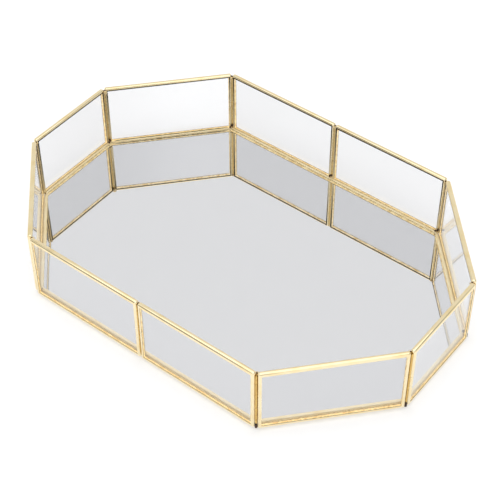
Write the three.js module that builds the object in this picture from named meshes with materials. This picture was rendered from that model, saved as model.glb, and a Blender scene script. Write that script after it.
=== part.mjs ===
// Octagonal dresser tray: ten glass wall panes in bent brass channel frames, soldered
// at the posts round a mirror base that has a brass channel of its own.
// Millimetres, +Z up, long axis along X, origin under the middle of the feet.
import * as THREE from 'three';

// Overall shape: inner faces of the wall panels, walked counter-clockwise from above.
const longPanel = 88.2;      // half of a long side, corner post to middle post
const diagonalPanel = 89.7;  // the four slanted sides
const endPanel = 67.8;       // the two short ends
const longTurn = THREE.MathUtils.degToRad(47.8);  // from a long side to a slanted side
const wallHeight = 50.5;     // height of a wall frame

// Brass channel: a U with a rounded back, folded from sheet.
const brassSheet = 0.35;
const channelLeg = 2.2;      // back to leg tip
const backRound = 1.0;       // outside radius where the back meets a leg
const bendRadius = 1.6;      // outside of the bend at a frame corner
const baseBend = 3.0;        // outside of the bend at a base corner
const seamGap = 0.3;         // between the two ends of a bent channel

// Glass.
const wallGlass = 2.0;
const mirrorGlass = 2.0;
const backingCoat = 0.2;     // silvering and its protective paint

// Feet, under the mirror beside the slanted walls.
const footTopRadius = 5.0;
const footBottomRadius = 4.2;
const footHeight = 2.0;
const footInset = 20.0;      // foot centre to the nearest wall
const footSides = 24;

// Clearances.
const glassSide = 0.3;       // each side of a wall pane
const glassEdge = 0.5;       // glass edge to the inside of a channel back
const mirrorSide = 0.2;      // above the mirror and below its coat
const coatGap = 0.1;         // mirror to coat, and coat to foot
const jointGap = 0.3;        // between neighbouring channels
const solderGap = 0.2;       // solder to what it joins

// Solder runs.
const seamRecess = 0.9;      // corner solder below the outer faces
const beadDepth = 0.35;      // solder in the shallow groove of a middle post
const beadDrop = 0.3;        // base solder below the top of the base channel
const beadLean = 0.25;       // inward lean of the base solder for each mm of its height
const seamStart = 3.5;       // solder starts this far above the bottom of a frame
const seamEnd = 1.0;         // and stops this far below its top

// Derived from the values above.
const endTurn = Math.PI / 2 - longTurn;
const halfWidth = endPanel / 2 + diagonalPanel * Math.sin(longTurn);
const wallChannel = wallGlass + 2 * (glassSide + brassSheet);
const baseChannel = mirrorGlass + coatGap + backingCoat + 2 * (mirrorSide + brassSheet);
const coatBottom = footHeight + coatGap;
const frameBottom = coatBottom - mirrorSide - brassSheet;
const mirrorBottom = coatBottom + backingCoat + coatGap;

const brass = { color: 0xe6cd97, roughness: 0.25, metalness: 1.0 };
const solder = { color: 0xc99a4a, roughness: 0.45, metalness: 0.9 };
const clearGlass = { color: 0xeef3f3, roughness: 0.03, metalness: 0.0, transparent: true, opacity: 0.25 };
const mirror = { color: 0xdfe2e4, roughness: 0.02, metalness: 0.9 };
const coat = { color: 0x8b8f92, roughness: 0.7, metalness: 0.0 };
const rubber = { color: 0xd9dcdc, roughness: 0.5, metalness: 0.0 };

const panels = [
  { name: 'front_left', length: longPanel, turn: 0, post: 'front_middle' },
  { name: 'front_right', length: longPanel, turn: longTurn, post: 'front_right' },
  { name: 'right_front_slant', length: diagonalPanel, turn: endTurn, post: 'right_front' },
  { name: 'right_end', length: endPanel, turn: endTurn, post: 'right_back' },
  { name: 'right_back_slant', length: diagonalPanel, turn: longTurn, post: 'back_right' },
  { name: 'back_right', length: longPanel, turn: 0, post: 'back_middle' },
  { name: 'back_left', length: longPanel, turn: longTurn, post: 'back_left' },
  { name: 'left_back_slant', length: diagonalPanel, turn: endTurn, post: 'left_back' },
  { name: 'left_end', length: endPanel, turn: endTurn, post: 'left_front' },
  { name: 'left_front_slant', length: diagonalPanel, turn: longTurn, post: 'front_left' },
];

// Walks the panels and gives each its start, heading and the turns at both its ends.
function layOut() {
  const start = new THREE.Vector2(-longPanel, -halfWidth);
  let heading = 0;
  panels.forEach((panel, index) => {
    const along = new THREE.Vector2(Math.cos(heading), Math.sin(heading));
    panel.start = start.clone();
    panel.heading = heading;
    panel.along = along;
    panel.turnBefore = panels[(index + panels.length - 1) % panels.length].turn;
    start.addScaledVector(along, panel.length);
    panel.end = start.clone();
    heading += panel.turn;
  });
}

// From a post's inner edge back to the channel, so that two rounded backs keep the joint gap.
function setback(turn) {
  const half = turn / 2;
  const spread = backRound * (Math.cos(half) + Math.sin(half) - 1);
  return (jointGap / 2 - spread) / Math.cos(half);
}

// Direction of every edge of a closed walk round the corners.
function edgeDirections(corners) {
  return corners.map((corner, index) => {
    const next = corners[(index + 1) % corners.length];
    return next.clone().sub(corner).normalize();
  });
}

function inwardOf(edge) {
  return new THREE.Vector2(-edge.y, edge.x);
}

// Corners moved in by a distance, square to every edge.
function cornersMovedIn(corners, distance) {
  const edges = edgeDirections(corners);
  return corners.map((corner, index) => {
    const before = inwardOf(edges[(index + corners.length - 1) % corners.length]);
    const after = inwardOf(edges[index]);
    const reach = distance / (1 + before.dot(after));
    return corner.clone().addScaledVector(before.add(after), reach);
  });
}

// Points of a closed outline, moved in by inset, with every corner bent on an arc.
// The walk starts and ends on the last edge, where the two ends leave the gap.
function outline(corners, inset, bend, gap) {
  const arcSteps = 2;
  const smallestRadius = 0.1;
  const radius = Math.max(bend - inset, smallestRadius);
  const edges = edgeDirections(corners);
  const centres = cornersMovedIn(corners, inset + radius);
  const last = corners.length - 1;
  const seam = corners[last].clone().lerp(corners[0], 0.5);
  seam.addScaledVector(inwardOf(edges[last]), inset);
  const points = [seam.clone().addScaledVector(edges[last], gap / 2)];
  centres.forEach((centre, index) => {
    const before = edges[(index + last) % corners.length];
    const turn = Math.acos(THREE.MathUtils.clamp(before.dot(edges[index]), -1, 1));
    const outward = inwardOf(before).negate().multiplyScalar(radius);
    for (let step = 0; step <= arcSteps; step += 1) {
      const spoke = outward.clone().rotateAround(new THREE.Vector2(), (turn * step) / arcSteps);
      points.push(centre.clone().add(spoke));
    }
  });
  points.push(seam.clone().addScaledVector(edges[last], -gap / 2));
  return points;
}

// Section of the channel as [inset, depth] pairs, counter-clockwise, back at inset 0.
function channelSection(width) {
  const arcSteps = 2;
  const arc = (cx, cy, radius, from, to) => {
    const points = [];
    for (let step = 0; step <= arcSteps; step += 1) {
      const angle = from + ((to - from) * step) / arcSteps;
      points.push([cx + radius * Math.cos(angle), cy + radius * Math.sin(angle)]);
    }
    return points;
  };
  const right = Math.PI / 2;
  const inside = backRound - brassSheet;
  return [
    [channelLeg, 0],
    [channelLeg, brassSheet],
    ...arc(backRound, backRound, inside, 3 * right, 2 * right),
    ...arc(backRound, width - backRound, inside, 2 * right, right),
    [channelLeg, width - brassSheet],
    [channelLeg, width],
    ...arc(backRound, width - backRound, backRound, right, 2 * right),
    ...arc(backRound, backRound, backRound, 2 * right, 3 * right),
  ];
}

// A channel bent round the corners, lying in the XY plane with its width along Z.
function bentChannel(corners, width, bend) {
  const section = channelSection(width);
  const rings = section.map(([inset]) => outline(corners, inset, bend, seamGap));
  const stations = rings[0].length;
  const size = section.length;
  const positions = [];
  for (let station = 0; station < stations; station += 1) {
    section.forEach(([, depth], k) => {
      positions.push(rings[k][station].x, rings[k][station].y, depth);
    });
  }
  const faces = [];
  for (let station = 0; station + 1 < stations; station += 1) {
    for (let k = 0; k < size; k += 1) {
      const a = station * size + k;
      const b = station * size + ((k + 1) % size);
      faces.push(a, b, b + size, a, b + size, a + size);
    }
  }
  const flat = section.map(([inset, depth]) => new THREE.Vector2(inset, depth));
  const end = (stations - 1) * size;
  THREE.ShapeUtils.triangulateShape(flat, []).forEach(([a, b, c]) => {
    faces.push(c, b, a, end + a, end + b, end + c);
  });
  const geometry = new THREE.BufferGeometry();
  geometry.setAttribute('position', new THREE.Float32BufferAttribute(positions, 3));
  geometry.setIndex(faces);
  return geometry;
}

// A flat plate inside the same corners, from Z 0 up.
function plate(corners, inset, bend, thickness) {
  const shape = new THREE.Shape(outline(corners, inset, bend, 0).slice(1, -1));
  return new THREE.ExtrudeGeometry(shape, { depth: thickness, bevelEnabled: false });
}

function addMesh(parent, name, geometry, look) {
  const mesh = new THREE.Mesh(geometry, new THREE.MeshStandardMaterial(look));
  mesh.name = name;
  parent.add(mesh);
  return mesh;
}

// A group whose X runs along the panel's inner face, with Y pointing into the tray.
function panelGroup(panel) {
  const group = new THREE.Group();
  group.position.set(panel.start.x, panel.start.y, frameBottom);
  group.rotation.z = panel.heading;
  return group;
}

// The upright rectangle that a wall frame is bent round, in the panel's own X and Z.
function frameCorners(panel) {
  const left = setback(panel.turnBefore);
  const right = panel.length - setback(panel.turn);
  return [
    new THREE.Vector2(left, 0),
    new THREE.Vector2(right, 0),
    new THREE.Vector2(right, wallHeight),
    new THREE.Vector2(left, wallHeight),
  ].map((corner, index, all) => all[(index + 1) % all.length]);
}

// Wall frame: the channel stands upright, its inner face on the panel's inner line.
function addFrame(group, panel) {
  const frame = bentChannel(frameCorners(panel), wallChannel, bendRadius);
  frame.rotateX(Math.PI / 2);
  addMesh(group, `${panel.name}_frame`, frame, brass);
}

// Wall pane, held in the middle of the channel.
function addPane(group, panel) {
  const pane = plate(frameCorners(panel), brassSheet + glassEdge, bendRadius, wallGlass);
  pane.rotateX(Math.PI / 2);
  pane.translate(0, -(brassSheet + glassSide), 0);
  addMesh(group, `${panel.name}_pane`, pane, clearGlass);
}

// Solder bead between the bottom rail, the pane and the back of the base channel.
function addBaseSolder(group, panel) {
  const wallSide = -(brassSheet + glassSide) + solderGap;
  const baseSide = jointGap - solderGap;
  const low = channelLeg + solderGap;
  const high = baseChannel - beadDrop;
  const lean = (high - low) * beadLean;
  const section = new THREE.Shape([
    new THREE.Vector2(wallSide, low),
    new THREE.Vector2(baseSide, low),
    new THREE.Vector2(baseSide + lean, high),
    new THREE.Vector2(wallSide + lean, high),
  ]);
  const from = setback(panel.turnBefore) + channelLeg + solderGap;
  const to = panel.length - setback(panel.turn) - channelLeg - solderGap;
  const bead = new THREE.ExtrudeGeometry(section, { depth: to - from, bevelEnabled: false });
  const axes = new THREE.Matrix4().makeBasis(
    new THREE.Vector3(0, 1, 0),
    new THREE.Vector3(0, 0, 1),
    new THREE.Vector3(1, 0, 0),
  );
  bead.applyMatrix4(axes);
  bead.translate(from, 0, 0);
  addMesh(group, `${panel.name}_base_solder`, bead, solder);
}

// Half width of the solder at a distance out from the post's inner edge, in a V groove.
function grooveHalf(turn, out) {
  const half = turn / 2;
  return (setback(turn) + out * Math.sin(half) - solderGap) / Math.cos(half);
}

// Half width of the solder at a depth below the faces, between two rounded backs in line.
function roundHalf(depth) {
  const reach = backRound + solderGap;
  const rise = backRound - depth;
  return jointGap / 2 + backRound - Math.sqrt(reach * reach - rise * rise);
}

// Solder run in the groove that opens outwards at a post.
function addPostSolder(parent, panel) {
  const narrowest = 0.1;
  const bent = panel.turn > 0;
  const out = bent ? wallChannel - seamRecess : wallChannel;
  const inner = bent
    ? (solderGap + narrowest * Math.cos(panel.turn / 2) - setback(panel.turn)) / Math.sin(panel.turn / 2)
    : wallChannel - beadDepth;
  const outerHalf = bent ? grooveHalf(panel.turn, out) : roundHalf(0);
  const innerHalf = bent ? narrowest : roundHalf(beadDepth);
  const section = new THREE.Shape([
    new THREE.Vector2(inner, -innerHalf),
    new THREE.Vector2(out, -outerHalf),
    new THREE.Vector2(out, outerHalf),
    new THREE.Vector2(inner, innerHalf),
  ]);
  const run = wallHeight - seamStart - seamEnd;
  const seam = new THREE.ExtrudeGeometry(section, { depth: run, bevelEnabled: false });
  const mesh = addMesh(parent, `${panel.post}_post_solder`, seam, solder);
  mesh.position.set(panel.end.x, panel.end.y, frameBottom + seamStart);
  mesh.rotation.z = panel.heading + panel.turn / 2 - Math.PI / 2;
}

// Mirror, its coat and the channel round them, one joint gap inside the wall ring.
function addBase(parent) {
  const corners = panels.filter((panel) => panel.turnBefore > 0).map((panel) => panel.start);
  const inner = cornersMovedIn(corners, jointGap);
  const channel = addMesh(parent, 'base_channel', bentChannel(inner, baseChannel, baseBend), brass);
  channel.position.z = frameBottom;
  const edge = brassSheet + glassEdge;
  const glass = addMesh(parent, 'mirror_glass', plate(inner, edge, baseBend, mirrorGlass), mirror);
  glass.position.z = mirrorBottom;
  const back = addMesh(parent, 'mirror_backing_coat', plate(inner, edge, baseBend, backingCoat), coat);
  back.position.z = coatBottom;
}

// One foot beside the middle of each slanted wall.
function addFeet(parent) {
  const slants = panels.filter((panel) => panel.name.endsWith('slant'));
  slants.forEach((panel) => {
    const foot = new THREE.CylinderGeometry(footTopRadius, footBottomRadius, footHeight, footSides);
    foot.rotateX(Math.PI / 2);
    const mesh = addMesh(parent, `${panel.name.replace('slant', 'foot')}`, foot, rubber);
    const middle = panel.start.clone().lerp(panel.end, 0.5);
    const inward = new THREE.Vector2(-panel.along.y, panel.along.x);
    middle.addScaledVector(inward, footInset);
    mesh.position.set(middle.x, middle.y, footHeight / 2);
  });
}

const tray = new THREE.Group();
layOut();
panels.forEach((panel) => {
  const group = panelGroup(panel);
  addFrame(group, panel);
  addPane(group, panel);
  addBaseSolder(group, panel);
  tray.add(group);
  addPostSolder(tray, panel);
});
addBase(tray);
addFeet(tray);

export default tray;
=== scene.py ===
import math
import bpy
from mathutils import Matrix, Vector


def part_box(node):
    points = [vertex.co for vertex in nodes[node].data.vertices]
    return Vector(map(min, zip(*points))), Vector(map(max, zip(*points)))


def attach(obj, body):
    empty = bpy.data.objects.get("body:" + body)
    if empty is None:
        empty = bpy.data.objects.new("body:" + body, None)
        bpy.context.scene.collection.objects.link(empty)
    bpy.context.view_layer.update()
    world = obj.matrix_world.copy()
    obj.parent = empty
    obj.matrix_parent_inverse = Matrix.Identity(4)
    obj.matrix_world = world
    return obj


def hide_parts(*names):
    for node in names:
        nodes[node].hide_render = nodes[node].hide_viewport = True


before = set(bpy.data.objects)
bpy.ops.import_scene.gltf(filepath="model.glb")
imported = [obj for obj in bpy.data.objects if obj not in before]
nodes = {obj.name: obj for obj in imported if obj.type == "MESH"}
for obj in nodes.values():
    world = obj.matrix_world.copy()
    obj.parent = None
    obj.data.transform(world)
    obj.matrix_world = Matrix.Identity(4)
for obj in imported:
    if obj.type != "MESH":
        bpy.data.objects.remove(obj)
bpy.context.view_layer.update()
mm = 0.001

# camera first, set for the three quarter view from above
camLook = {"target": Vector((-3.4, 11.6, 1.6)) * mm, "azimuth": 37.68, "elevation": 45.92,
           "distance": 920.7 * mm, "lens": 99.34, "sensor": 36}
az = math.radians(camLook["azimuth"])
el = math.radians(camLook["elevation"])
toCamera = Vector((math.sin(az) * math.cos(el), -math.cos(az) * math.cos(el), math.sin(el)))
camera = bpy.data.objects.new("camera", bpy.data.cameras.new("camera"))
camera.data.lens = camLook["lens"]
camera.data.sensor_width = camLook["sensor"]
camera.location = camLook["target"] + toCamera * camLook["distance"]
camera.rotation_mode = "QUATERNION"
camera.rotation_quaternion = (-toCamera).to_track_quat("-Z", "Y")
bpy.context.scene.collection.objects.link(camera)
bpy.context.scene.camera = camera
bpy.context.scene.view_settings.view_transform = "Standard"
print("camera set")


# shader helpers, and groups shared by more than one finish

def newGroup(name, inputs, outputs):
    group = bpy.data.node_groups.new(name, "ShaderNodeTree")
    for socketName, kind, value in inputs:
        socket = group.interface.new_socket(socketName, in_out="INPUT", socket_type=kind)
        socket.default_value = value
    for socketName, kind in outputs:
        group.interface.new_socket(socketName, in_out="OUTPUT", socket_type=kind)
    return group, group.nodes.new("NodeGroupInput"), group.nodes.new("NodeGroupOutput")


def mathNode(tree, operation, first, second=None):
    node = tree.nodes.new("ShaderNodeMath")
    node.operation = operation
    for socket, value in zip(node.inputs, (first, second)):
        if isinstance(value, (int, float)):
            socket.default_value = value
        elif value is not None:
            tree.links.new(value, socket)
    return node.outputs[0]


def mixColor(tree, factor, first, second, blend="MIX"):
    node = tree.nodes.new("ShaderNodeMix")
    node.data_type = "RGBA"
    node.blend_type = blend
    # sockets 6 and 7 are the two colours, and output 2 is the mixed one
    for socket, value in ((node.inputs[0], factor), (node.inputs[6], first), (node.inputs[7], second)):
        if isinstance(value, (int, float, tuple)):
            socket.default_value = value
        else:
            tree.links.new(value, socket)
    return node.outputs[2]


def ramp(tree, value, stops):
    node = tree.nodes.new("ShaderNodeValToRGB")
    elements = node.color_ramp.elements
    while len(elements) < len(stops):
        elements.new(0.5)
    for element, (position, level) in zip(elements, stops):
        element.position = position
        element.color = (level, level, level, 1)
    tree.links.new(value, node.inputs[0])
    return node.outputs[0]


def noise(tree, vector, scale, detail=3, roughness=0.5):
    node = tree.nodes.new("ShaderNodeTexNoise")
    node.inputs["Scale"].default_value = scale
    node.inputs["Detail"].default_value = detail
    node.inputs["Roughness"].default_value = roughness
    tree.links.new(vector, node.inputs["Vector"])
    return node.outputs["Fac"]


drawLook = {"lines": (160, 4), "patches": (90, 2)}  # noise scale and detail


def makeDrawGrain():
    # fine lines left along a drawn or rolled strip, from a map whose U runs along it
    group, inside, outside = newGroup(
        "drawGrain",
        [("Map", "NodeSocketVector", (0, 0, 0)), ("Stretch", "NodeSocketFloat", 40)],
        [("Lines", "NodeSocketFloat"), ("Patches", "NodeSocketFloat")])
    scale = group.nodes.new("ShaderNodeCombineXYZ")
    scale.inputs["X"].default_value = 1
    group.links.new(inside.outputs["Stretch"], scale.inputs["Y"])
    scale.inputs["Z"].default_value = 1
    stretched = group.nodes.new("ShaderNodeVectorMath")
    stretched.operation = "MULTIPLY"
    group.links.new(inside.outputs["Map"], stretched.inputs[0])
    group.links.new(scale.outputs[0], stretched.inputs[1])
    group.links.new(noise(group, stretched.outputs[0], *drawLook["lines"]), outside.inputs["Lines"])
    group.links.new(noise(group, inside.outputs["Map"], *drawLook["patches"]), outside.inputs["Patches"])
    return group


heatLook = {"cloud": (420, 3), "lift": 0.5, "mask": [(0.25, 0), (0.8, 1)], "amber": (0.80, 0.50, 0.16, 1)}


def makeHeatTint():
    # amber and brown bloom where a torch or iron has been, strongest where the heat attribute is 1
    group, inside, outside = newGroup(
        "heatTint",
        [("Color", "NodeSocketColor", (1, 1, 1, 1)), ("Heat", "NodeSocketFloat", 0),
         ("Place", "NodeSocketVector", (0, 0, 0))],
        [("Color", "NodeSocketColor"), ("Mask", "NodeSocketFloat")])
    cloud = mathNode(group, "ADD", noise(group, inside.outputs["Place"], *heatLook["cloud"]), heatLook["lift"])
    mask = ramp(group, mathNode(group, "MULTIPLY", cloud, inside.outputs["Heat"]), heatLook["mask"])
    tinted = mixColor(group, mask, (1, 1, 1, 1), heatLook["amber"])
    group.links.new(mixColor(group, 1.0, inside.outputs["Color"], tinted, "MULTIPLY"), outside.inputs["Color"])
    group.links.new(mask, outside.inputs["Mask"])
    return group


speckLook = {"detail": 4, "edge": [(0.42, 0), (0.62, 1)], "soft": (35, 2)}


def makeSpeckle():
    # small specks, and a soft cloud under them
    group, inside, outside = newGroup(
        "speckle",
        [("Place", "NodeSocketVector", (0, 0, 0)), ("Size", "NodeSocketFloat", 900)],
        [("Specks", "NodeSocketFloat"), ("Soft", "NodeSocketFloat")])
    fine = group.nodes.new("ShaderNodeTexNoise")
    fine.inputs["Detail"].default_value = speckLook["detail"]
    group.links.new(inside.outputs["Place"], fine.inputs["Vector"])
    group.links.new(inside.outputs["Size"], fine.inputs["Scale"])
    group.links.new(ramp(group, fine.outputs["Fac"], speckLook["edge"]), outside.inputs["Specks"])
    group.links.new(noise(group, inside.outputs["Place"], *speckLook["soft"]), outside.inputs["Soft"])
    return group


drawGrain = makeDrawGrain()
heatTint = makeHeatTint()
speckle = makeSpeckle()


def newMaterial(name, **sockets):
    material = bpy.data.materials.new(name)
    material.use_nodes = True
    tree = material.node_tree
    shader = tree.nodes["Principled BSDF"]
    for key, value in sockets.items():
        shader.inputs[key.replace("_", " ")].default_value = value
    return material, tree, shader


def useGroup(tree, group, **inputs):
    node = tree.nodes.new("ShaderNodeGroup")
    node.node_tree = group
    for key, value in inputs.items():
        if isinstance(value, (int, float, tuple)):
            node.inputs[key].default_value = value
        else:
            tree.links.new(value, node.inputs[key])
    return node


def bumpFrom(tree, shader, height, strength, distance, under=None):
    bump = tree.nodes.new("ShaderNodeBump")
    bump.inputs["Strength"].default_value = strength
    bump.inputs["Distance"].default_value = distance
    tree.links.new(height, bump.inputs["Height"])
    if under:
        tree.links.new(under, bump.inputs["Normal"])
    tree.links.new(bump.outputs[0], shader.inputs["Normal"])
    return bump.outputs[0]


def place(tree):
    return tree.nodes.new("ShaderNodeTexCoord").outputs["Object"]


def scaled(tree, value, times, base):
    return mathNode(tree, "ADD", mathNode(tree, "MULTIPLY", value, times), base)


def attribute(tree, name):
    node = tree.nodes.new("ShaderNodeAttribute")
    node.attribute_name = name
    return node.outputs["Fac"]


# the lip's darkening (partly tarnish, partly painted shade of the slot where the lip meets the glass), heatRough,
# film and satin act only where the lip, heat and tinned attributes are set
brassLook = {"color": (0.96, 0.82, 0.53, 1), "dull": (0.92, 0.73, 0.38, 1), "dullPatches": [(0.45, 0), (0.75, 1)],
             "stretch": 34, "roughness": (0.035, 0.12), "grain": (0.10, 0.02 * mm), "wave": (1.0, 0.10 * mm),
             "dark": (0.02, 0.012, 0.006, 1), "tarnishAndShade": [(0.3, 1), (0.7, 0.8)],
             "heatRough": 0.12, "film": 0.6, "satin": 0.30}


def makeBrass(look):
    material, tree, shader = newMaterial("pale_gold_brass", Metallic=1.0)
    strip = tree.nodes.new("ShaderNodeUVMap")
    strip.uv_map = "strip"
    grain = useGroup(tree, drawGrain, Map=strip.outputs[0], Stretch=look["stretch"])
    patches = ramp(tree, grain.outputs["Patches"], look["dullPatches"])
    base = mixColor(tree, patches, look["color"], look["dull"])
    tint = useGroup(tree, heatTint, Color=base, Heat=attribute(tree, "heat"), Place=place(tree))
    # the lip goes nearly black: partly tarnish, partly painted shade of the slot where it meets the glass
    tarnishShadeSpread = ramp(tree, grain.outputs["Patches"], look["tarnishAndShade"])
    tarnishAndShade = mathNode(tree, "MULTIPLY", attribute(tree, "lip"), tarnishShadeSpread)
    tree.links.new(mixColor(tree, tarnishAndShade, tint.outputs["Color"], look["dark"]), shader.inputs["Base Color"])
    tinned = attribute(tree, "tinned")
    film = mathNode(tree, "MULTIPLY", tinned, look["film"])
    tree.links.new(mathNode(tree, "SUBTRACT", 1.0, film), shader.inputs["Metallic"])
    low, high = look["roughness"]
    heated = mathNode(tree, "MULTIPLY", tint.outputs["Mask"], look["heatRough"])
    rough = mathNode(tree, "ADD", scaled(tree, grain.outputs["Lines"], high - low, low), heated)
    satin = mathNode(tree, "MULTIPLY", tinned, look["satin"])
    tree.links.new(mathNode(tree, "ADD", rough, satin), shader.inputs["Roughness"])
    wave = bumpFrom(tree, shader, grain.outputs["Patches"], *look["wave"])
    bumpFrom(tree, shader, grain.outputs["Lines"], *look["grain"], wave)
    return material


def makeSpeckled(name, look, **sockets):
    # two tones, a roughness and a bump, all from the same specks
    material, tree, shader = newMaterial(name, **sockets)
    specks = useGroup(tree, speckle, Place=place(tree), Size=look["specks"])
    tone = specks.outputs[look["toneBy"]]
    if "share" in look:
        tone = mathNode(tree, "MULTIPLY", tone, look["share"])
    tree.links.new(mixColor(tree, tone, look["color"], look["other"]), shader.inputs["Base Color"])
    rough, spread = look["roughness"]
    tree.links.new(scaled(tree, specks.outputs["Specks"], spread, rough), shader.inputs["Roughness"])
    bumpFrom(tree, shader, specks.outputs[look["bumpBy"]], *look["bump"])
    return material, tree, shader, specks


# the side of the strip that was never polished, with a glow for what bounces between the folded sides
insideLook = {"specks": 500, "toneBy": "Specks", "color": (0.88, 0.65, 0.28, 1), "other": (0.66, 0.43, 0.15, 1),
              "roughness": (0.35, 0.2), "bumpBy": "Soft", "bump": (0.2, 0.05 * mm),
              "glow": (1.0, 0.93, 0.70, 1), "tinnedGlow": (0.95, 0.82, 0.50, 1), "speckGlow": (0.72, 0.56, 0.26, 1),
              "glowStrength": 0.75}


def makeFoldedInside(look):
    material, tree, shader, specks = makeSpeckled("brass_inside", look, Metallic=0.0)
    glow = mixColor(tree, attribute(tree, "tinned"), look["glow"], look["tinnedGlow"])
    tree.links.new(mixColor(tree, specks.outputs["Specks"], glow, look["speckGlow"]),
                   shader.inputs["Emission Color"])
    shader.inputs["Emission Strength"].default_value = look["glowStrength"]
    return material


# the sheared edges of the strip, nearly black: partly tarnish, partly painted shade of the slot where the lips meet
# the glass
edgeLook = {"specks": 700, "toneBy": "Soft", "color": (0.015, 0.010, 0.005, 1), "other": (0.07, 0.045, 0.02, 1),
            "roughness": (0.5, 0.2), "bumpBy": "Specks", "bump": (0.2, 0.03 * mm)}
# flux left burnt black where the iron rested; the drops at the foot of each corner groove are partly burnt flux and
# partly painted shade of the hollow there
fluxAndShadeLook = {"specks": 1700, "toneBy": "Specks", "color": (0.004, 0.003, 0.003, 1), "other": (0.09, 0.032, 0.012, 1),
            "roughness": (0.45, 0.3), "bumpBy": "Specks", "bump": (0.5, 0.08 * mm)}
rubberLook = {"specks": 1500, "toneBy": "Soft", "color": (0.70, 0.72, 0.72, 1), "other": (0.80, 0.82, 0.81, 1),
              "roughness": (0.3, 0.15), "bumpBy": "Specks", "bump": (0.2, 0.04 * mm)}
anySolder = {"specks": 1300, "toneBy": "Specks", "share": 0.55, "bumpBy": "Specks"}
amberSolder = dict(anySolder, color=(0.78, 0.54, 0.18, 1), other=(0.40, 0.20, 0.05, 1), roughness=(0.20, 0.25),
                   bump=(0.25, 0.08 * mm))
goldSolder = dict(anySolder, color=(0.88, 0.66, 0.30, 1), other=(0.45, 0.27, 0.08, 1), roughness=(0.16, 0.25),
                  bump=(0.15, 0.08 * mm))
ashSolder = dict(anySolder, color=(0.30, 0.24, 0.12, 1), other=(0.02, 0.015, 0.01, 1), roughness=(0.30, 0.25),
                 bump=(0.5, 0.08 * mm))
paleSolder = dict(anySolder, color=(0.92, 0.76, 0.45, 1), other=(0.42, 0.26, 0.09, 1), roughness=(0.38, 0.25),
                  bump=(0.3, 0.08 * mm))


def letLampsThrough(tree, shader, shade):
    # lamps light what stands behind the glass
    path = tree.nodes.new("ShaderNodeLightPath")
    clear = tree.nodes.new("ShaderNodeBsdfTransparent")
    clear.inputs["Color"].default_value = shade
    mixer = tree.nodes.new("ShaderNodeMixShader")
    tree.links.new(path.outputs["Is Shadow Ray"], mixer.inputs[0])
    tree.links.new(shader.outputs[0], mixer.inputs[1])
    tree.links.new(clear.outputs[0], mixer.inputs[2])
    tree.links.new(mixer.outputs[0], tree.nodes["Material Output"].inputs["Surface"])


paneLook = {"color": (0.91, 0.913, 0.923, 1), "index": 1.5, "specks": 60, "smear": 0.02, "bump": (0.05, 0.05 * mm),
            "shade": (0.99, 0.99, 0.99, 1)}
mirrorFrontLook = dict(paneLook, color=(0.985, 0.987, 0.99, 1), smear=0.0)


def makeGlass(name, look):
    material, tree, shader = newMaterial(name, Base_Color=look["color"], IOR=look["index"], Metallic=0.0,
                                         Transmission_Weight=1.0)
    specks = useGroup(tree, speckle, Place=place(tree), Size=look["specks"])
    tree.links.new(mathNode(tree, "MULTIPLY", specks.outputs["Specks"], look["smear"]), shader.inputs["Roughness"])
    bumpFrom(tree, shader, specks.outputs["Soft"], *look["bump"])
    letLampsThrough(tree, shader, look["shade"])
    return material


silverLook = {"specks": 25, "color": (0.885, 0.885, 0.895, 1), "other": (0.90, 0.90, 0.905, 1), "haze": 0.02}


def makeSilver(look):
    material, tree, shader = newMaterial("mirror_silver", Metallic=1.0)
    soft = useGroup(tree, speckle, Place=place(tree), Size=look["specks"]).outputs["Soft"]
    tree.links.new(mixColor(tree, soft, look["color"], look["other"]), shader.inputs["Base Color"])
    tree.links.new(mathNode(tree, "MULTIPLY", soft, look["haze"]), shader.inputs["Roughness"])
    return material


paintLook = {"specks": 1100, "share": 0.35, "color": (0.17, 0.18, 0.19, 1), "other": (0.24, 0.25, 0.26, 1),
             "speck": (0.32, 0.33, 0.34, 1), "roughness": (0.5, 0.5), "bump": (0.25, 0.05 * mm)}


def makePaint(look):
    material, tree, shader = newMaterial("mirror_back_paint", Metallic=0.0)
    specks = useGroup(tree, speckle, Place=place(tree), Size=look["specks"])
    soft = mixColor(tree, specks.outputs["Soft"], look["color"], look["other"])
    faint = mathNode(tree, "MULTIPLY", specks.outputs["Specks"], look["share"])
    tree.links.new(mixColor(tree, faint, soft, look["speck"]), shader.inputs["Base Color"])
    rough, spread = look["roughness"]
    tree.links.new(scaled(tree, faint, spread, rough), shader.inputs["Roughness"])
    bumpFrom(tree, shader, specks.outputs["Specks"], *look["bump"])
    return material


brass = makeBrass(brassLook)
foldedInside = makeFoldedInside(insideLook)
cutEdge = makeSpeckled("tarnish_and_shade_edge", edgeLook, Metallic=0.0)[0]
solder = makeSpeckled("amber_solder", amberSolder, Metallic=1.0)[0]
gold = makeSpeckled("gold_solder", goldSolder, Metallic=1.0)[0]
pale = makeSpeckled("pale_solder", paleSolder, Metallic=1.0)[0]
ash = makeSpeckled("ash_solder", ashSolder, Metallic=1.0)[0]
fluxAndShade = makeSpeckled("burnt_flux_and_shade", fluxAndShadeLook)[0]
wallGlass = makeGlass("clear_wall_glass", paneLook)
mirrorGlass = makeGlass("mirror_front_glass", mirrorFrontLook)
silver = makeSilver(silverLook)
paint = makePaint(paintLook)
rubber = makeSpeckled("foot_rubber", rubberLook, IOR=1.42, Transmission_Weight=0.35)[0]
print("finishes made")


# places, read from the frame

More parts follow.
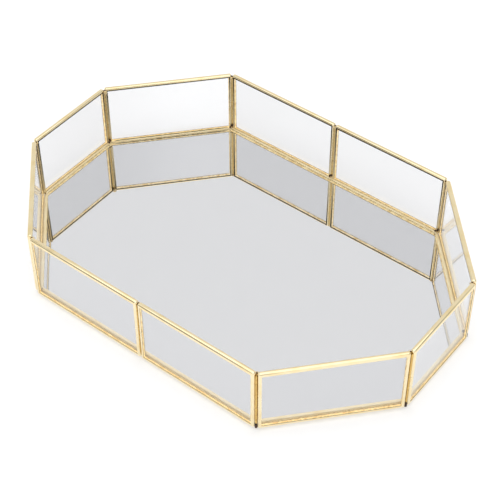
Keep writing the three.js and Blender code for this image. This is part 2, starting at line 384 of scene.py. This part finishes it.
def panelFrom(name):
    # centre line, outward side and size of a wall, from its own brass frame
    points = [v.co for v in nodes[name + "_frame"].data.vertices]
    count = len(points)
    cx = sum(p.x for p in points) / count
    cy = sum(p.y for p in points) / count
    sxx = sum((p.x - cx) ** 2 for p in points)
    syy = sum((p.y - cy) ** 2 for p in points)
    sxy = sum((p.x - cx) * (p.y - cy) for p in points)
    turn = 0.5 * math.atan2(2 * sxy, sxx - syy)
    along = Vector((math.cos(turn), math.sin(turn), 0))
    if cx * along.y - cy * along.x < 0:
        along = -along
    outward = Vector((along.y, -along.x, 0))
    reach = [p.dot(along) for p in points]
    depth = [p.dot(outward) for p in points]
    height = [p.z for p in points]
    return {"name": name, "along": along, "outward": outward,
            "left": min(reach), "right": max(reach), "inner": min(depth), "outer": max(depth),
            "low": min(height), "high": max(height)}


def inPanel(panel, x, depth, z):
    # x along the wall from its left end, depth outwards from its inner face
    return (panel["along"] * (panel["left"] + x) + panel["outward"] * (panel["inner"] + depth)
            + Vector((0, 0, z)))


panelNames = [n[:-len("_frame")] for n in sorted(nodes) if n.endswith("_frame")]
panels = [panelFrom(n) for n in panelNames]
lineTie = 0.01


def turnOrder(panel):
    # by the side it faces, and two walls in one line by their place along it
    facing = math.atan2(panel["outward"].y, panel["outward"].x)
    return facing + lineTie * math.copysign(1, panel["left"] + panel["right"])


panels.sort(key=turnOrder)
frameLow = panels[0]["low"]
frameHigh = panels[0]["high"]


# mesh helpers

def addPiece(name, mesh, replaced):
    piece = bpy.data.objects.new(name, mesh)
    bpy.context.scene.collection.objects.link(piece)
    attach(piece, "root")
    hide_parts(*replaced)
    return piece


def meshOf(name, verts, faces, materials, sharp=35):
    mesh = bpy.data.meshes.new(name)
    mesh.from_pydata(verts, [], faces)
    for material in materials:
        mesh.materials.append(material)
    mesh.shade_smooth()
    mesh.set_sharp_from_angle(angle=math.radians(sharp))
    return mesh


def offsetCorners(corners, distance):
    # the same outline moved in by a distance, its corners still sharp
    moved = []
    for i, corner in enumerate(corners):
        before = (corner - corners[i - 1]).normalized()
        after = (corners[(i + 1) % len(corners)] - corner).normalized()
        fromBefore = Vector((-before.y, before.x))
        fromAfter = Vector((-after.y, after.x))
        moved.append(corner + (fromBefore + fromAfter) * (distance / (1 + fromBefore.dot(fromAfter))))
    return moved


tightestBend = 0.04 * mm


def bentOutline(corners, inset, bend, arcSteps):
    # closed outline moved in by inset, every corner on an arc
    radius = max(bend - inset, tightestBend)
    centres = offsetCorners(corners, inset + radius)
    points = []
    for i, centre in enumerate(centres):
        before = (corners[i] - corners[i - 1]).normalized()
        after = (corners[(i + 1) % len(corners)] - corners[i]).normalized()
        turn = before.angle(after)
        start = math.atan2(-before.x, before.y)
        for step in range(arcSteps + 1):
            a = start + turn * step / arcSteps
            points.append(Vector((centre.x + radius * math.cos(a), centre.y + radius * math.sin(a))))
    return points


def channelSection(look, width):
    # open C as (inset, depth): a leg from its lip, a round shoulder, half the crowned back, and the same mirrored
    inset, depth = 0.0, 0.0
    side = [(inset, depth)]
    for fromAngle, toAngle, radius, steps in look["arcs"]:
        for k in range(steps):
            a0 = math.radians(fromAngle + (toAngle - fromAngle) * k / steps)
            a1 = math.radians(fromAngle + (toAngle - fromAngle) * (k + 1) / steps)
            inset -= radius * (math.sin(a1) - math.sin(a0))
            depth += radius * (math.cos(a0) - math.cos(a1))
            side.append((inset, depth))
    # fitted to the leg length and to half the channel width
    reach = -inset
    top = min(d for _, d in side)
    rise = depth - top
    side = [((i + reach) * look["leg"] / reach, (d - top) * width / 2 / rise) for i, d in side]
    # the back leans, further in on the outward side
    outer = [(i + look["lean"] * d, d) for i, d in side + [(i, width - d) for i, d in reversed(side[:-1])]]
    inner = []
    for k in range(len(outer)):
        before = outer[max(k - 1, 0)]
        after = outer[min(k + 1, len(outer) - 1)]
        run = math.hypot(after[0] - before[0], after[1] - before[1])
        inner.append((outer[k][0] + look["sheet"] * (after[1] - before[1]) / run,
                      outer[k][1] - look["sheet"] * (after[0] - before[0]) / run))
    return inner + outer[::-1]


def mark(mesh, name, values):
    mesh.attributes.new(name, "FLOAT", "POINT").data.foreach_set("value", values)


def sweepChannel(name, corners, width, look, toSpace, heat):
    # a closed channel bent round the corners, with a map whose U runs along it
    section = channelSection(look, width)
    rings = [bentOutline(corners, inset, look["bend"], look["bendSteps"]) for inset, _ in section]
    stations = len(rings[0])
    size = len(section)
    verts = [toSpace(rings[k][s].x, rings[k][s].y, section[k][1])
             for s in range(stations) for k in range(size)]
    faces = []
    for s in range(stations):
        for k in range(size):
            a = s * size + k
            b = s * size + (k + 1) % size
            c = ((s + 1) % stations) * size
            faces.append((a, b, c + (k + 1) % size, c + k))
    mesh = meshOf(name, verts, faces, [brass, foldedInside, cutEdge])
    runs = [0.0]
    for s in range(stations):
        runs.append(runs[-1] + (rings[-1][(s + 1) % stations] - rings[-1][s]).length)
    girth = [0.0]
    for k in range(size):
        a, b = section[k], section[(k + 1) % size]
        girth.append(girth[-1] + math.hypot(b[0] - a[0], b[1] - a[1]))
    strip = mesh.uv_layers.new(name="strip")
    for face in mesh.polygons:
        s, k = divmod(face.index, size)
        if k == size // 2 - 1 or k == size - 1:
            face.material_index = 2  # the two cut edges
        else:
            face.material_index = 1 if k < size // 2 else 0
        uv = [(runs[s], girth[k]), (runs[s], girth[k + 1]), (runs[s + 1], girth[k + 1]), (runs[s + 1], girth[k])]
        for loop, value in zip(face.loop_indices, uv):
            strip.data[loop].uv = value
    # the lip on the tray side, darkened as tarnish and painted shade, and what lies near the base where solder has
    # run over the brass
    lipFrom = frameHigh - look["leg"] * look["lipShare"]
    mark(mesh, "lip", [float(v.co.z > lipFrom and size - 1 - i % size < look["lipReach"])
                       for i, v in enumerate(mesh.vertices)])
    mark(mesh, "tinned", [float(v.co.z < look["tinned"]) for v in mesh.vertices])
    mark(mesh, "heat", [heat(v.co) for v in mesh.vertices])
    return mesh


def plateMesh(name, corners, inset, bend, thickness, arris, toSpace, materials, steps=4):
    # a flat plate with its sharp edges taken off, the first material on top and the last elsewhere
    rings = []
    for extra, depth in ((arris, 0), (0, arris), (0, thickness - arris), (arris, thickness)):
        rings.append([toSpace(p.x, p.y, depth) for p in bentOutline(corners, inset + extra, bend, steps)])
    count = len(rings[0])
    verts = [v for ring in rings for v in ring]
    faces = [tuple(reversed(range(count)))]
    for r in range(3):
        for i in range(count):
            j = (i + 1) % count
            faces.append((r * count + i, r * count + j, (r + 1) * count + j, (r + 1) * count + i))
    faces.append(tuple(range(3 * count, 4 * count)))
    mesh = meshOf(name, verts, faces, materials, sharp=20)
    if len(materials) > 1:
        for face in mesh.polygons:
            face.material_index = 1
        mesh.polygons[len(faces) - 1].material_index = 0
    return mesh


# brass channels, wall panes and the mirror base
# arcs are (from, to, radius, steps), angles in degrees, fitted to leg and width; lipReach counts rows of points
channelLook = {"sheet": 0.3 * mm, "leg": 2.2 * mm, "bend": 1.6 * mm, "bendSteps": 7, "lean": 0.05,
               "arcs": [(-7, 7, 5.0, 6), (7, 75, 1.1, 8), (75, 90, 3.0, 3)],
               "heatReach": 7 * mm, "heatRise": 3 * mm, "lipReach": 5, "lipShare": 1.05, "tinned": 6 * mm}
glassLook = {"thickness": 2.0 * mm, "edge": 0.85 * mm, "arris": 0.12 * mm}

posts = []
for panel in panels:
    for x in (0, panel["right"] - panel["left"]):
        posts.append(inPanel(panel, x, 0, 0))


def heatAt(point):
    # warm at the foot and head of every post
    best = min((Vector((p.x - point.x, p.y - point.y, 0)).length for p in posts))
    foot = abs(point.z - frameLow - channelLook["heatRise"])
    head = abs(frameHigh - point.z) + channelLook["heatRise"]
    return math.exp(-(best + min(foot, head)) / channelLook["heatReach"])


def wallSpace(panel, start):
    return lambda x, z, depth: inPanel(panel, x, start + depth, z)


for panel in panels:
    length = panel["right"] - panel["left"]
    rectangle = [Vector((0, panel["low"])), Vector((length, panel["low"])),
                 Vector((length, panel["high"])), Vector((0, panel["high"]))]
    width = panel["outer"] - panel["inner"]
    side = (width - glassLook["thickness"]) / 2
    mesh = sweepChannel(panel["name"] + "_brass", rectangle, width, channelLook, wallSpace(panel, 0), heatAt)
    addPiece(panel["name"] + "_brass", mesh, [panel["name"] + "_frame"])
    pane = plateMesh(panel["name"] + "_glass", rectangle, glassLook["edge"], channelLook["bend"],
                     glassLook["thickness"], glassLook["arris"], wallSpace(panel, side), [wallGlass])
    addPiece(panel["name"] + "_glass", pane, [panel["name"] + "_pane"])
print("walls made:", len(panels))


def crossing(first, second, inset):
    # where the inner lines of two walls meet, moved in by inset
    a, b = first["outward"], second["outward"]
    reachA, reachB = first["inner"] - inset, second["inner"] - inset
    cross = a.x * b.y - a.y * b.x
    return Vector(((reachA * b.y - reachB * a.y) / cross, (a.x * reachB - b.x * reachA) / cross))


baseLook = dict(channelLook, lean=0, bend=3.0 * mm, gap=0.3 * mm, mirrorEdge=0.85 * mm, coatGap=0.02 * mm,
                coatArris=0.03 * mm)
sameWay = 0.999  # walls whose outward sides agree this well make one side of the base
sides = []
for panel in panels:
    if not sides or sides[-1]["outward"].dot(panel["outward"]) < sameWay:
        sides.append(panel)
if sides[0]["outward"].dot(sides[-1]["outward"]) > sameWay:
    sides.pop()
baseCorners = [crossing(sides[i - 1], sides[i], baseLook["gap"]) for i in range(len(sides))]
baseLow, baseHigh = (corner.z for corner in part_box("base_channel"))


def flatSpace(start):
    return lambda x, y, depth: Vector((x, y, start + depth))


baseMesh = sweepChannel("base_brass", baseCorners, baseHigh - baseLow, baseLook, flatSpace(baseLow), heatAt)
addPiece("base_brass", baseMesh, ["base_channel"])
glassLow, glassHigh = (corner.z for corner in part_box("mirror_glass"))
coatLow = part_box("mirror_backing_coat")[0].z
front = plateMesh("mirror_front", baseCorners, baseLook["mirrorEdge"], baseLook["bend"], glassHigh - glassLow,
                  glassLook["arris"], flatSpace(glassLow), [mirrorGlass])
addPiece("mirror_front", front, ["mirror_glass"])
backing = plateMesh("mirror_backing", baseCorners, baseLook["mirrorEdge"], baseLook["bend"],
                    glassLow - baseLook["coatGap"] - coatLow, baseLook["coatArris"], flatSpace(coatLow),
                    [silver, paint])
addPiece("mirror_backing", backing, ["mirror_backing_coat"])
print("base made")


# solder and feet, by geometry nodes

def newTree(name, numbers):
    # numbers by name, and the finish of the whole result
    tree = bpy.data.node_groups.new(name, "GeometryNodeTree")
    tree.interface.new_socket("Geometry", in_out="INPUT", socket_type="NodeSocketGeometry")
    for socketName in numbers:
        tree.interface.new_socket(socketName, in_out="INPUT", socket_type="NodeSocketFloat")
    tree.interface.new_socket("Finish", in_out="INPUT", socket_type="NodeSocketMaterial")
    tree.interface.new_socket("Geometry", in_out="OUTPUT", socket_type="NodeSocketGeometry")
    return tree, tree.nodes.new("NodeGroupInput"), tree.nodes.new("NodeGroupOutput")


def chain(tree, kind, geometry, **values):
    # one node on the geometry line, its other sockets set or linked by name
    node = tree.nodes.new(kind)
    tree.links.new(geometry, node.inputs[0])
    for key, value in values.items():
        socket = node.inputs[key.replace("_", " ")]
        if isinstance(value, bpy.types.NodeSocket):
            tree.links.new(value, socket)
        else:
            socket.default_value = value
    return node


def namedWeight(tree):
    node = tree.nodes.new("GeometryNodeInputNamedAttribute")
    node.inputs["Name"].default_value = "weight"
    return node.outputs["Attribute"]


def vectorTimes(tree, vector, factor):
    node = tree.nodes.new("ShaderNodeVectorMath")
    node.operation = "SCALE"
    tree.links.new(vector, node.inputs[0])
    tree.links.new(factor, node.inputs["Scale"])
    return node.outputs[0]


def lumpy(tree, geometry, inside):
    # pushes the skin in and out by a fixed noise
    position = tree.nodes.new("GeometryNodeInputPosition").outputs[0]
    cloud = tree.nodes.new("ShaderNodeTexNoise")
    cloud.noise_dimensions = "4D"
    tree.links.new(position, cloud.inputs["Vector"])
    tree.links.new(inside.outputs["Seed"], cloud.inputs["W"])
    tree.links.new(inside.outputs["Lump Scale"], cloud.inputs["Scale"])
    push = mathNode(tree, "SUBTRACT", cloud.outputs["Fac"], 0.5)
    push = mathNode(tree, "MULTIPLY", push, inside.outputs["Lump Depth"])
    normal = tree.nodes.new("GeometryNodeInputNormal").outputs[0]
    return chain(tree, "GeometryNodeSetPosition", geometry, Offset=vectorTimes(tree, normal, push)).outputs[0]


def endTree(tree, geometry, inside, outside):
    real = chain(tree, "GeometryNodeRealizeInstances", geometry).outputs[0]
    smooth = chain(tree, "GeometryNodeSetShadeSmooth", real).outputs[0]
    painted = chain(tree, "GeometryNodeSetMaterial", smooth, Material=inside.outputs["Finish"])
    tree.links.new(painted.outputs[0], outside.inputs[0])
    return tree


treeLook = {"beadSides": 10, "beadTip": 1.02, "beadPower": 24.0, "dropSteps": 4,
            "footSides": 48, "footRings": 12, "footFill": 4, "tuckShare": 0.08, "tuckPower": 3.0}


def makeBeadTree():
    # a bead of solder along every edge line, thick where the line's weight says
    tree, inside, outside = newTree("solderBead", ["Bead Radius", "Step", "Lump Scale", "Lump Depth", "Seed"])
    curve = chain(tree, "GeometryNodeMeshToCurve", inside.outputs[0]).outputs[0]
    resample = tree.nodes.new("GeometryNodeResampleCurve")
    resample.mode = "LENGTH"
    tree.links.new(curve, resample.inputs["Curve"])
    tree.links.new(inside.outputs["Step"], resample.inputs["Length"])
    # full width nearly to the ends, which are rounded off
    factor = tree.nodes.new("GeometryNodeSplineParameter").outputs["Factor"]
    ends = mathNode(tree, "ABSOLUTE", mathNode(tree, "SUBTRACT", mathNode(tree, "MULTIPLY", factor, 2.0), 1.0))
    taper = mathNode(tree, "SUBTRACT", treeLook["beadTip"], mathNode(tree, "POWER", ends, treeLook["beadPower"]))
    sized = mathNode(tree, "MULTIPLY", taper, namedWeight(tree))
    thick = chain(tree, "GeometryNodeSetCurveRadius", resample.outputs[0], Radius=sized).outputs[0]
    ring = tree.nodes.new("GeometryNodeCurvePrimitiveCircle")
    ring.inputs["Resolution"].default_value = treeLook["beadSides"]
    tree.links.new(inside.outputs["Bead Radius"], ring.inputs["Radius"])
    radius = tree.nodes.new("GeometryNodeInputRadius").outputs[0]
    skin = chain(tree, "GeometryNodeCurveToMesh", thick, Profile_Curve=ring.outputs[0], Scale=radius, Fill_Caps=True)
    return endTree(tree, lumpy(tree, skin.outputs[0], inside), inside, outside)


def makeDropTree():
    # a small drop on every point, its size from the point's weight
    tree, inside, outside = newTree("solderDrop", ["Drop Radius", "Squash", "Lump Scale", "Lump Depth", "Seed"])
    ball = tree.nodes.new("GeometryNodeMeshIcoSphere")
    ball.inputs["Subdivisions"].default_value = treeLook["dropSteps"]
    tree.links.new(inside.outputs["Drop Radius"], ball.inputs["Radius"])
    shape = tree.nodes.new("ShaderNodeCombineXYZ")
    shape.inputs["X"].default_value = 1
    shape.inputs["Y"].default_value = 1
    tree.links.new(inside.outputs["Squash"], shape.inputs["Z"])
    size = vectorTimes(tree, shape.outputs[0], namedWeight(tree))
    drops = chain(tree, "GeometryNodeInstanceOnPoints", inside.outputs[0], Instance=ball.outputs[0], Scale=size)
    real = chain(tree, "GeometryNodeRealizeInstances", drops.outputs[0]).outputs[0]
    return endTree(tree, lumpy(tree, real, inside), inside, outside)


def makeFootTree():
    # one turned foot on every point
    tree, inside, outside = newTree("turnedFoot", ["Top Radius", "Bottom Radius", "Height", "Edge"])
    cone = tree.nodes.new("GeometryNodeMeshCone")
    for socketName, key in (("Vertices", "footSides"), ("Side Segments", "footRings"), ("Fill Segments", "footFill")):
        cone.inputs[socketName].default_value = treeLook[key]
    for socketName, source in (("Radius Top", "Top Radius"), ("Radius Bottom", "Bottom Radius"), ("Depth", "Height")):
        tree.links.new(inside.outputs[source], cone.inputs[socketName])
    position = tree.nodes.new("GeometryNodeInputPosition").outputs[0]
    split = tree.nodes.new("ShaderNodeSeparateXYZ")
    tree.links.new(position, split.inputs[0])
    # the side is drawn in at the floor, by up to tuckShare of its radius
    near = mathNode(tree, "DIVIDE", split.outputs["Z"], inside.outputs["Edge"])
    near = mathNode(tree, "SUBTRACT", 1.0, mathNode(tree, "MINIMUM", near, 1.0))
    tuck = mathNode(tree, "POWER", near, treeLook["tuckPower"])
    shrink = mathNode(tree, "SUBTRACT", 1.0, mathNode(tree, "MULTIPLY", tuck, treeLook["tuckShare"]))
    flat = tree.nodes.new("ShaderNodeCombineXYZ")
    for axis in "XY":
        tree.links.new(mathNode(tree, "MULTIPLY", split.outputs[axis], shrink), flat.inputs[axis])
    tree.links.new(split.outputs["Z"], flat.inputs["Z"])
    turned = chain(tree, "GeometryNodeSetPosition", cone.outputs["Mesh"], Position=flat.outputs[0])
    feet = chain(tree, "GeometryNodeInstanceOnPoints", inside.outputs[0], Instance=turned.outputs[0])
    return endTree(tree, feet.outputs[0], inside, outside)


def newMarks():
    # points and lines for a tree to work on, each point with a weight
    return {"verts": [], "edges": [], "weights": []}


def addPoint(marks, point, weight=1.0):
    marks["verts"].append(point)
    marks["weights"].append(weight)


def addLine(marks, first, second, weight=1.0):
    start = len(marks["verts"])
    addPoint(marks, first, weight)
    addPoint(marks, second, weight)
    marks["edges"].append((start, start + 1))


def grow(name, marks, tree, values, sharp=180):
    # runs a tree on the marks, and keeps the result as a plain mesh
    seedMesh = bpy.data.meshes.new(name + "_seed")
    seedMesh.from_pydata(marks["verts"], marks["edges"], [])
    weights = seedMesh.attributes.new("weight", "FLOAT", "POINT")
    weights.data.foreach_set("value", marks["weights"])
    holder = bpy.data.objects.new(name + "_seed", seedMesh)
    bpy.context.scene.collection.objects.link(holder)
    modifier = holder.modifiers.new("grow", "NODES")
    modifier.node_group = tree
    for item in tree.interface.items_tree:
        if item.in_out == "INPUT" and item.name in values:
            modifier[item.identifier] = values[item.name]
    evaluated = holder.evaluated_get(bpy.context.evaluated_depsgraph_get())
    mesh = bpy.data.meshes.new_from_object(evaluated)
    mesh.name = name
    holder.modifiers.remove(modifier)
    bpy.data.objects.remove(holder)
    mesh.set_sharp_from_angle(angle=math.radians(sharp))
    return mesh


def up(z):
    return Vector((0, 0, z))


# groove beads stand outside the corner posts, middle ones beside the mid posts, seams inside both
solderLook = {"groove": 0.66 * mm, "slim": 0.6, "foot": 3.4 * mm, "head": 1.2 * mm, "step": 0.6 * mm,
              "middle": 0.40 * mm, "middleSink": 0.42 * mm, "middleShift": 0.15 * mm,
              "seam": 0.75 * mm, "seamSink": 0.35 * mm, "middleSeam": 0.4, "seamFoot": 3 * mm, "seamHead": 0.9 * mm,
              "wall": 0.40 * mm, "wallRise": 2.75 * mm, "wallInset": 0.4 * mm, "wallDepth": 0.08 * mm,
              "roughWall": "left_back_slant", "roughWeight": 1.9, "roughSink": 0.8 * mm, "postSink": 0.5 * mm}
# one drop at the head and foot of every post, and a ball at the head of the rough wall's post
dropLook = {"size": 1.15 * mm, "headDown": 2.0 * mm, "head": 0.62, "ball": 1.25, "ballSink": 0.5 * mm,
            "footUp": 0.9 * mm, "foot": 0.85}
# inner places are inwards from the post, along the next wall and up from the mirror
fluxShadeLook = {"size": 0.9 * mm, "grooveUp": (0.9 * mm, 1.7 * mm, 2.5 * mm), "grooveSink": 0.15 * mm,
            "ball": 1.35, "ballSink": 0.1 * mm, "inner": [(0.3 * mm, 0, 1.3 * mm), (0.8 * mm, 1.3 * mm, 0.4 * mm)],
            "headOut": 0.9 * mm, "headDown": 1.3 * mm, "back": (0.9, 0.7, 0.65), "front": (0.4, 0.3, 0.5)}
straight = 0.01  # half the turn between two walls in one line is less than this, in radians
postLines, innerLines, wallLines, roughLines = newMarks(), newMarks(), newMarks(), newMarks()
drops, fluxShadeMarks = newMarks(), newMarks()

for i, panel in enumerate(panels):
    after = panels[(i + 1) % len(panels)]
    half = panel["outward"].angle(after["outward"]) / 2
    outwards = (panel["outward"] + after["outward"]).normalized()
    span = panel["right"] - panel["left"]
    if half > straight:
        corner = crossing(panel, after, 0)
        # as deep as the bead will go before it meets both backs, slimmer at the left end
        weight = 1.0 if outwards.x > 0 else solderLook["slim"]
        gapAtEdge = (panel["along"] * panel["right"] + panel["outward"] * panel["inner"]).to_2d() - corner
        reach = (solderLook["groove"] * weight + gapAtEdge.dot(panel["along"].to_2d())) / math.sin(half)
        foot = corner.to_3d() + outwards * reach
        inner = corner.to_3d() - outwards * solderLook["postSink"]
        seam = corner.to_3d() + outwards * solderLook["seamSink"]
        # drops at the groove foot: burnt flux and painted shade of the hollow where the groove meets the base
        for rise in fluxShadeLook["grooveUp"]:
            addPoint(fluxShadeMarks, foot - outwards * fluxShadeLook["grooveSink"] + up(panel["low"] + rise), weight)
    else:
        sink = solderLook["middleSink"]
        shift = panel["along"] * solderLook["middleShift"]
        weight = solderLook["middle"] / solderLook["groove"]
        foot = inPanel(panel, span, panel["outer"] - panel["inner"] - sink, 0) + shift
        inner = inPanel(panel, span, sink, 0) + shift
        seam = inner + panel["outward"] * solderLook["seamSink"] * solderLook["middleSeam"]
    addLine(postLines, foot + up(panel["low"] + solderLook["foot"]),
            foot + up(panel["high"] - solderLook["head"]), weight)
    addLine(innerLines, seam + up(panel["low"] + solderLook["seamFoot"]),
            seam + up(panel["high"] - solderLook["seamHead"]))
    ball = panel["name"] == solderLook["roughWall"]
    dropHigh = panel["high"] - dropLook["headDown"]
    if ball:
        addPoint(fluxShadeMarks, inner + outwards * fluxShadeLook["ballSink"] + up(dropHigh), fluxShadeLook["ball"])
        inner = inner - outwards * dropLook["ballSink"]
    sizes = fluxShadeLook["back" if outwards.y > 0 else "front"]
    for (inward, along, rise), size in zip(fluxShadeLook["inner"], sizes):
        addPoint(fluxShadeMarks, inner - outwards * inward + after["along"] * along + up(baseHigh + rise), size)
    addPoint(fluxShadeMarks, inner + outwards * fluxShadeLook["headOut"] + up(panel["high"] - fluxShadeLook["headDown"]), sizes[-1])
    addPoint(drops, inner + up(dropHigh), dropLook["ball" if ball else "head"])
    addPoint(drops, inner + up(baseHigh + dropLook["footUp"]), dropLook["foot"])
    # the bead between wall and mirror frame
    rough = solderLook["roughWeight"] if ball else 1.0
    rise = panel["low"] + solderLook["wallRise"]
    inset = channelLook["leg"] + solderLook["wallInset"]
    depth = solderLook["wallDepth"] - (rough - 1) * solderLook["roughSink"]
    addLine(roughLines if ball else wallLines, inPanel(panel, inset, depth, rise),
            inPanel(panel, span - inset, depth, rise), rough)


def nodesEnding(ending):
    return [n for n in sorted(nodes) if n.endswith(ending)]


beadTree, dropTree = makeBeadTree(), makeDropTree()
solderPieces = {
    "post_solder": {"marks": postLines, "tree": beadTree, "nodes": nodesEnding("_post_solder"), "Finish": solder,
                    "Bead Radius": solderLook["groove"], "Lump Scale": 700.0, "Lump Depth": 0.16 * mm, "Seed": 3.0},
    "inner_solder": {"marks": innerLines, "tree": beadTree, "nodes": [], "Finish": gold,
                     "Bead Radius": solderLook["seam"], "Lump Scale": 260.0, "Lump Depth": 0.22 * mm, "Seed": 6.0},
    "wall_solder": {"marks": wallLines, "tree": beadTree, "nodes": nodesEnding("_base_solder"), "Finish": pale,
                    "Bead Radius": solderLook["wall"], "Lump Scale": 900.0, "Lump Depth": 0.3 * mm, "Seed": 8.0},
    "rough_solder": {"marks": roughLines, "tree": beadTree, "nodes": [], "Finish": ash,
                     "Bead Radius": solderLook["wall"], "Lump Scale": 900.0, "Lump Depth": 0.4 * mm, "Seed": 9.0},
    "solder_drops": {"marks": drops, "tree": dropTree, "nodes": [], "Finish": pale, "Squash": 1.1,
                     "Drop Radius": dropLook["size"], "Lump Scale": 900.0, "Lump Depth": 0.45 * mm, "Seed": 5.0},
    "burnt_flux_and_shade": {"marks": fluxShadeMarks, "tree": dropTree, "nodes": [], "Finish": fluxAndShade, "Squash": 1.5,
                   "Drop Radius": fluxShadeLook["size"], "Lump Scale": 1200.0, "Lump Depth": 0.3 * mm, "Seed": 11.0}}
for name, look in solderPieces.items():
    mesh = grow(name, look["marks"], look["tree"], dict(look, Step=solderLook["step"]))
    addPiece(name, mesh, look["nodes"])

footNodes = nodesEnding("_foot")
footMarks = newMarks()
for n in footNodes:
    lowCorner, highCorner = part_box(n)
    middle = (lowCorner + highCorner) / 2
    addPoint(footMarks, (middle.x, middle.y, lowCorner.z))
footLook = {"Top Radius": 5.0 * mm, "Bottom Radius": 4.6 * mm, "Height": highCorner.z, "Edge": 0.8 * mm,
            "Finish": rubber}
feet = grow("rubber_feet", footMarks, makeFootTree(), footLook, sharp=40)
addPiece("rubber_feet", feet, footNodes)
print("solder and feet made")


# floor, lamps and room; cloths and wallGaps are (degrees round the room, brightness), walls and ceiling by height
stageLook = {"floorRadius": 6.0, "floorSides": 96, "floorDrop": 0.05 * mm, "floorTone": 0.50, "floorDapple": 0.985,
             "floorCloud": (8, 2), "floorRough": 0.9, "floorGlow": 0.48,
             "overheadPower": 36.0, "overheadSize": 1.4, "overheadHeight": 3.4,
             "unlit": (0.02, 0.015, 0.01, 1), "lit": (1, 1.002, 1.008, 1),
             "ceiling": [(0.80, 0), (0.84, 1.4)], "walls": [(0.54, 0.76), (0.60, 0)],
             "wallGaps": [(298, 1), (302, 0.05), (342, 0.05), (346, 1)],
             "cloths": [(0, 1.2), (8, 1.2), (12, 0.5), (28, 0.5), (31, 0.45), (36, 0.45), (40, 0.3), (51, 0.3),
                        (54, 1.1), (72, 1.1), (75, 0.02), (82, 0.02), (86, 0.9), (104, 0.9), (108, 0.03),
                        (114, 0.03), (118, 0.25), (150, 0.25), (160, 0.8), (175, 0.83), (262, 0.83), (266, 0.02),
                        (276, 0.02), (281, 1.2), (303, 1.2), (309, 0.3), (337, 0.3), (342, 1.2)]}


def makeStage():
    # a paper floor with a faint glow, a hair below the feet
    count = stageLook["floorSides"]
    drop = -stageLook["floorDrop"]
    verts = [(0, 0, drop)]
    verts += [(stageLook["floorRadius"] * math.cos(2 * math.pi * i / count),
               stageLook["floorRadius"] * math.sin(2 * math.pi * i / count), drop) for i in range(count)]
    faces = [(0, i + 1, (i + 1) % count + 1) for i in range(count)]
    mesh = bpy.data.meshes.new("floor")
    mesh.from_pydata(verts, [], faces)
    material, tree, shader = newMaterial("floor_paper", Roughness=stageLook["floorRough"],
                                         Emission_Color=(1, 1, 1, 1), Emission_Strength=stageLook["floorGlow"])
    tone = stageLook["floorTone"]
    dapple = tone * stageLook["floorDapple"]
    cloud = noise(tree, place(tree), *stageLook["floorCloud"])
    tree.links.new(mixColor(tree, cloud, (tone, tone, tone, 1), (dapple, dapple, dapple, 1)),
                   shader.inputs["Base Color"])
    mesh.materials.append(material)
    floor = bpy.data.objects.new("floor", mesh)
    bpy.context.scene.collection.objects.link(floor)


def makeLamps():
    lamp = bpy.data.lights.new("overhead", "AREA")
    lamp.shape = "DISK"
    lamp.size = stageLook["overheadSize"]
    lamp.energy = stageLook["overheadPower"]
    holder = bpy.data.objects.new("overhead", lamp)
    holder.location = (0, 0, stageLook["overheadHeight"])
    bpy.context.scene.collection.objects.link(holder)
    # it would show as a white shape in the mirror
    holder.visible_glossy = False
    holder.visible_transmission = False


def makeRoom():
    # cloths hung round the tray with dark gaps that the brass picks up, and a white ceiling
    world = bpy.data.worlds.new("room")
    bpy.context.scene.world = world
    world.use_nodes = True
    tree = world.node_tree
    direction = tree.nodes.new("ShaderNodeTexCoord").outputs["Generated"]
    split = tree.nodes.new("ShaderNodeSeparateXYZ")
    tree.links.new(direction, split.inputs[0])
    turn = mathNode(tree, "ARCTAN2", split.outputs["X"], mathNode(tree, "MULTIPLY", split.outputs["Y"], -1.0))
    turn = mathNode(tree, "MODULO", mathNode(tree, "ADD", turn, 4 * math.pi), 2 * math.pi)
    turn = mathNode(tree, "DIVIDE", turn, 2 * math.pi)
    cloths, gaps = (ramp(tree, turn, [(angle / 360, level) for angle, level in stageLook[key]])
                    for key in ("cloths", "wallGaps"))
    ceiling = ramp(tree, split.outputs["Z"], stageLook["ceiling"])
    walls = mathNode(tree, "MULTIPLY", ramp(tree, split.outputs["Z"], stageLook["walls"]), gaps)
    light = mathNode(tree, "MAXIMUM", mathNode(tree, "MAXIMUM", ceiling, walls), cloths)
    tint = mixColor(tree, light, stageLook["unlit"], stageLook["lit"])
    tree.links.new(tint, tree.nodes["Background"].inputs["Color"])
    # brighter than white where a level is above 1
    tree.links.new(mathNode(tree, "MAXIMUM", light, 1.0), tree.nodes["Background"].inputs["Strength"])


makeStage()
makeLamps()
makeRoom()
print("stage set")
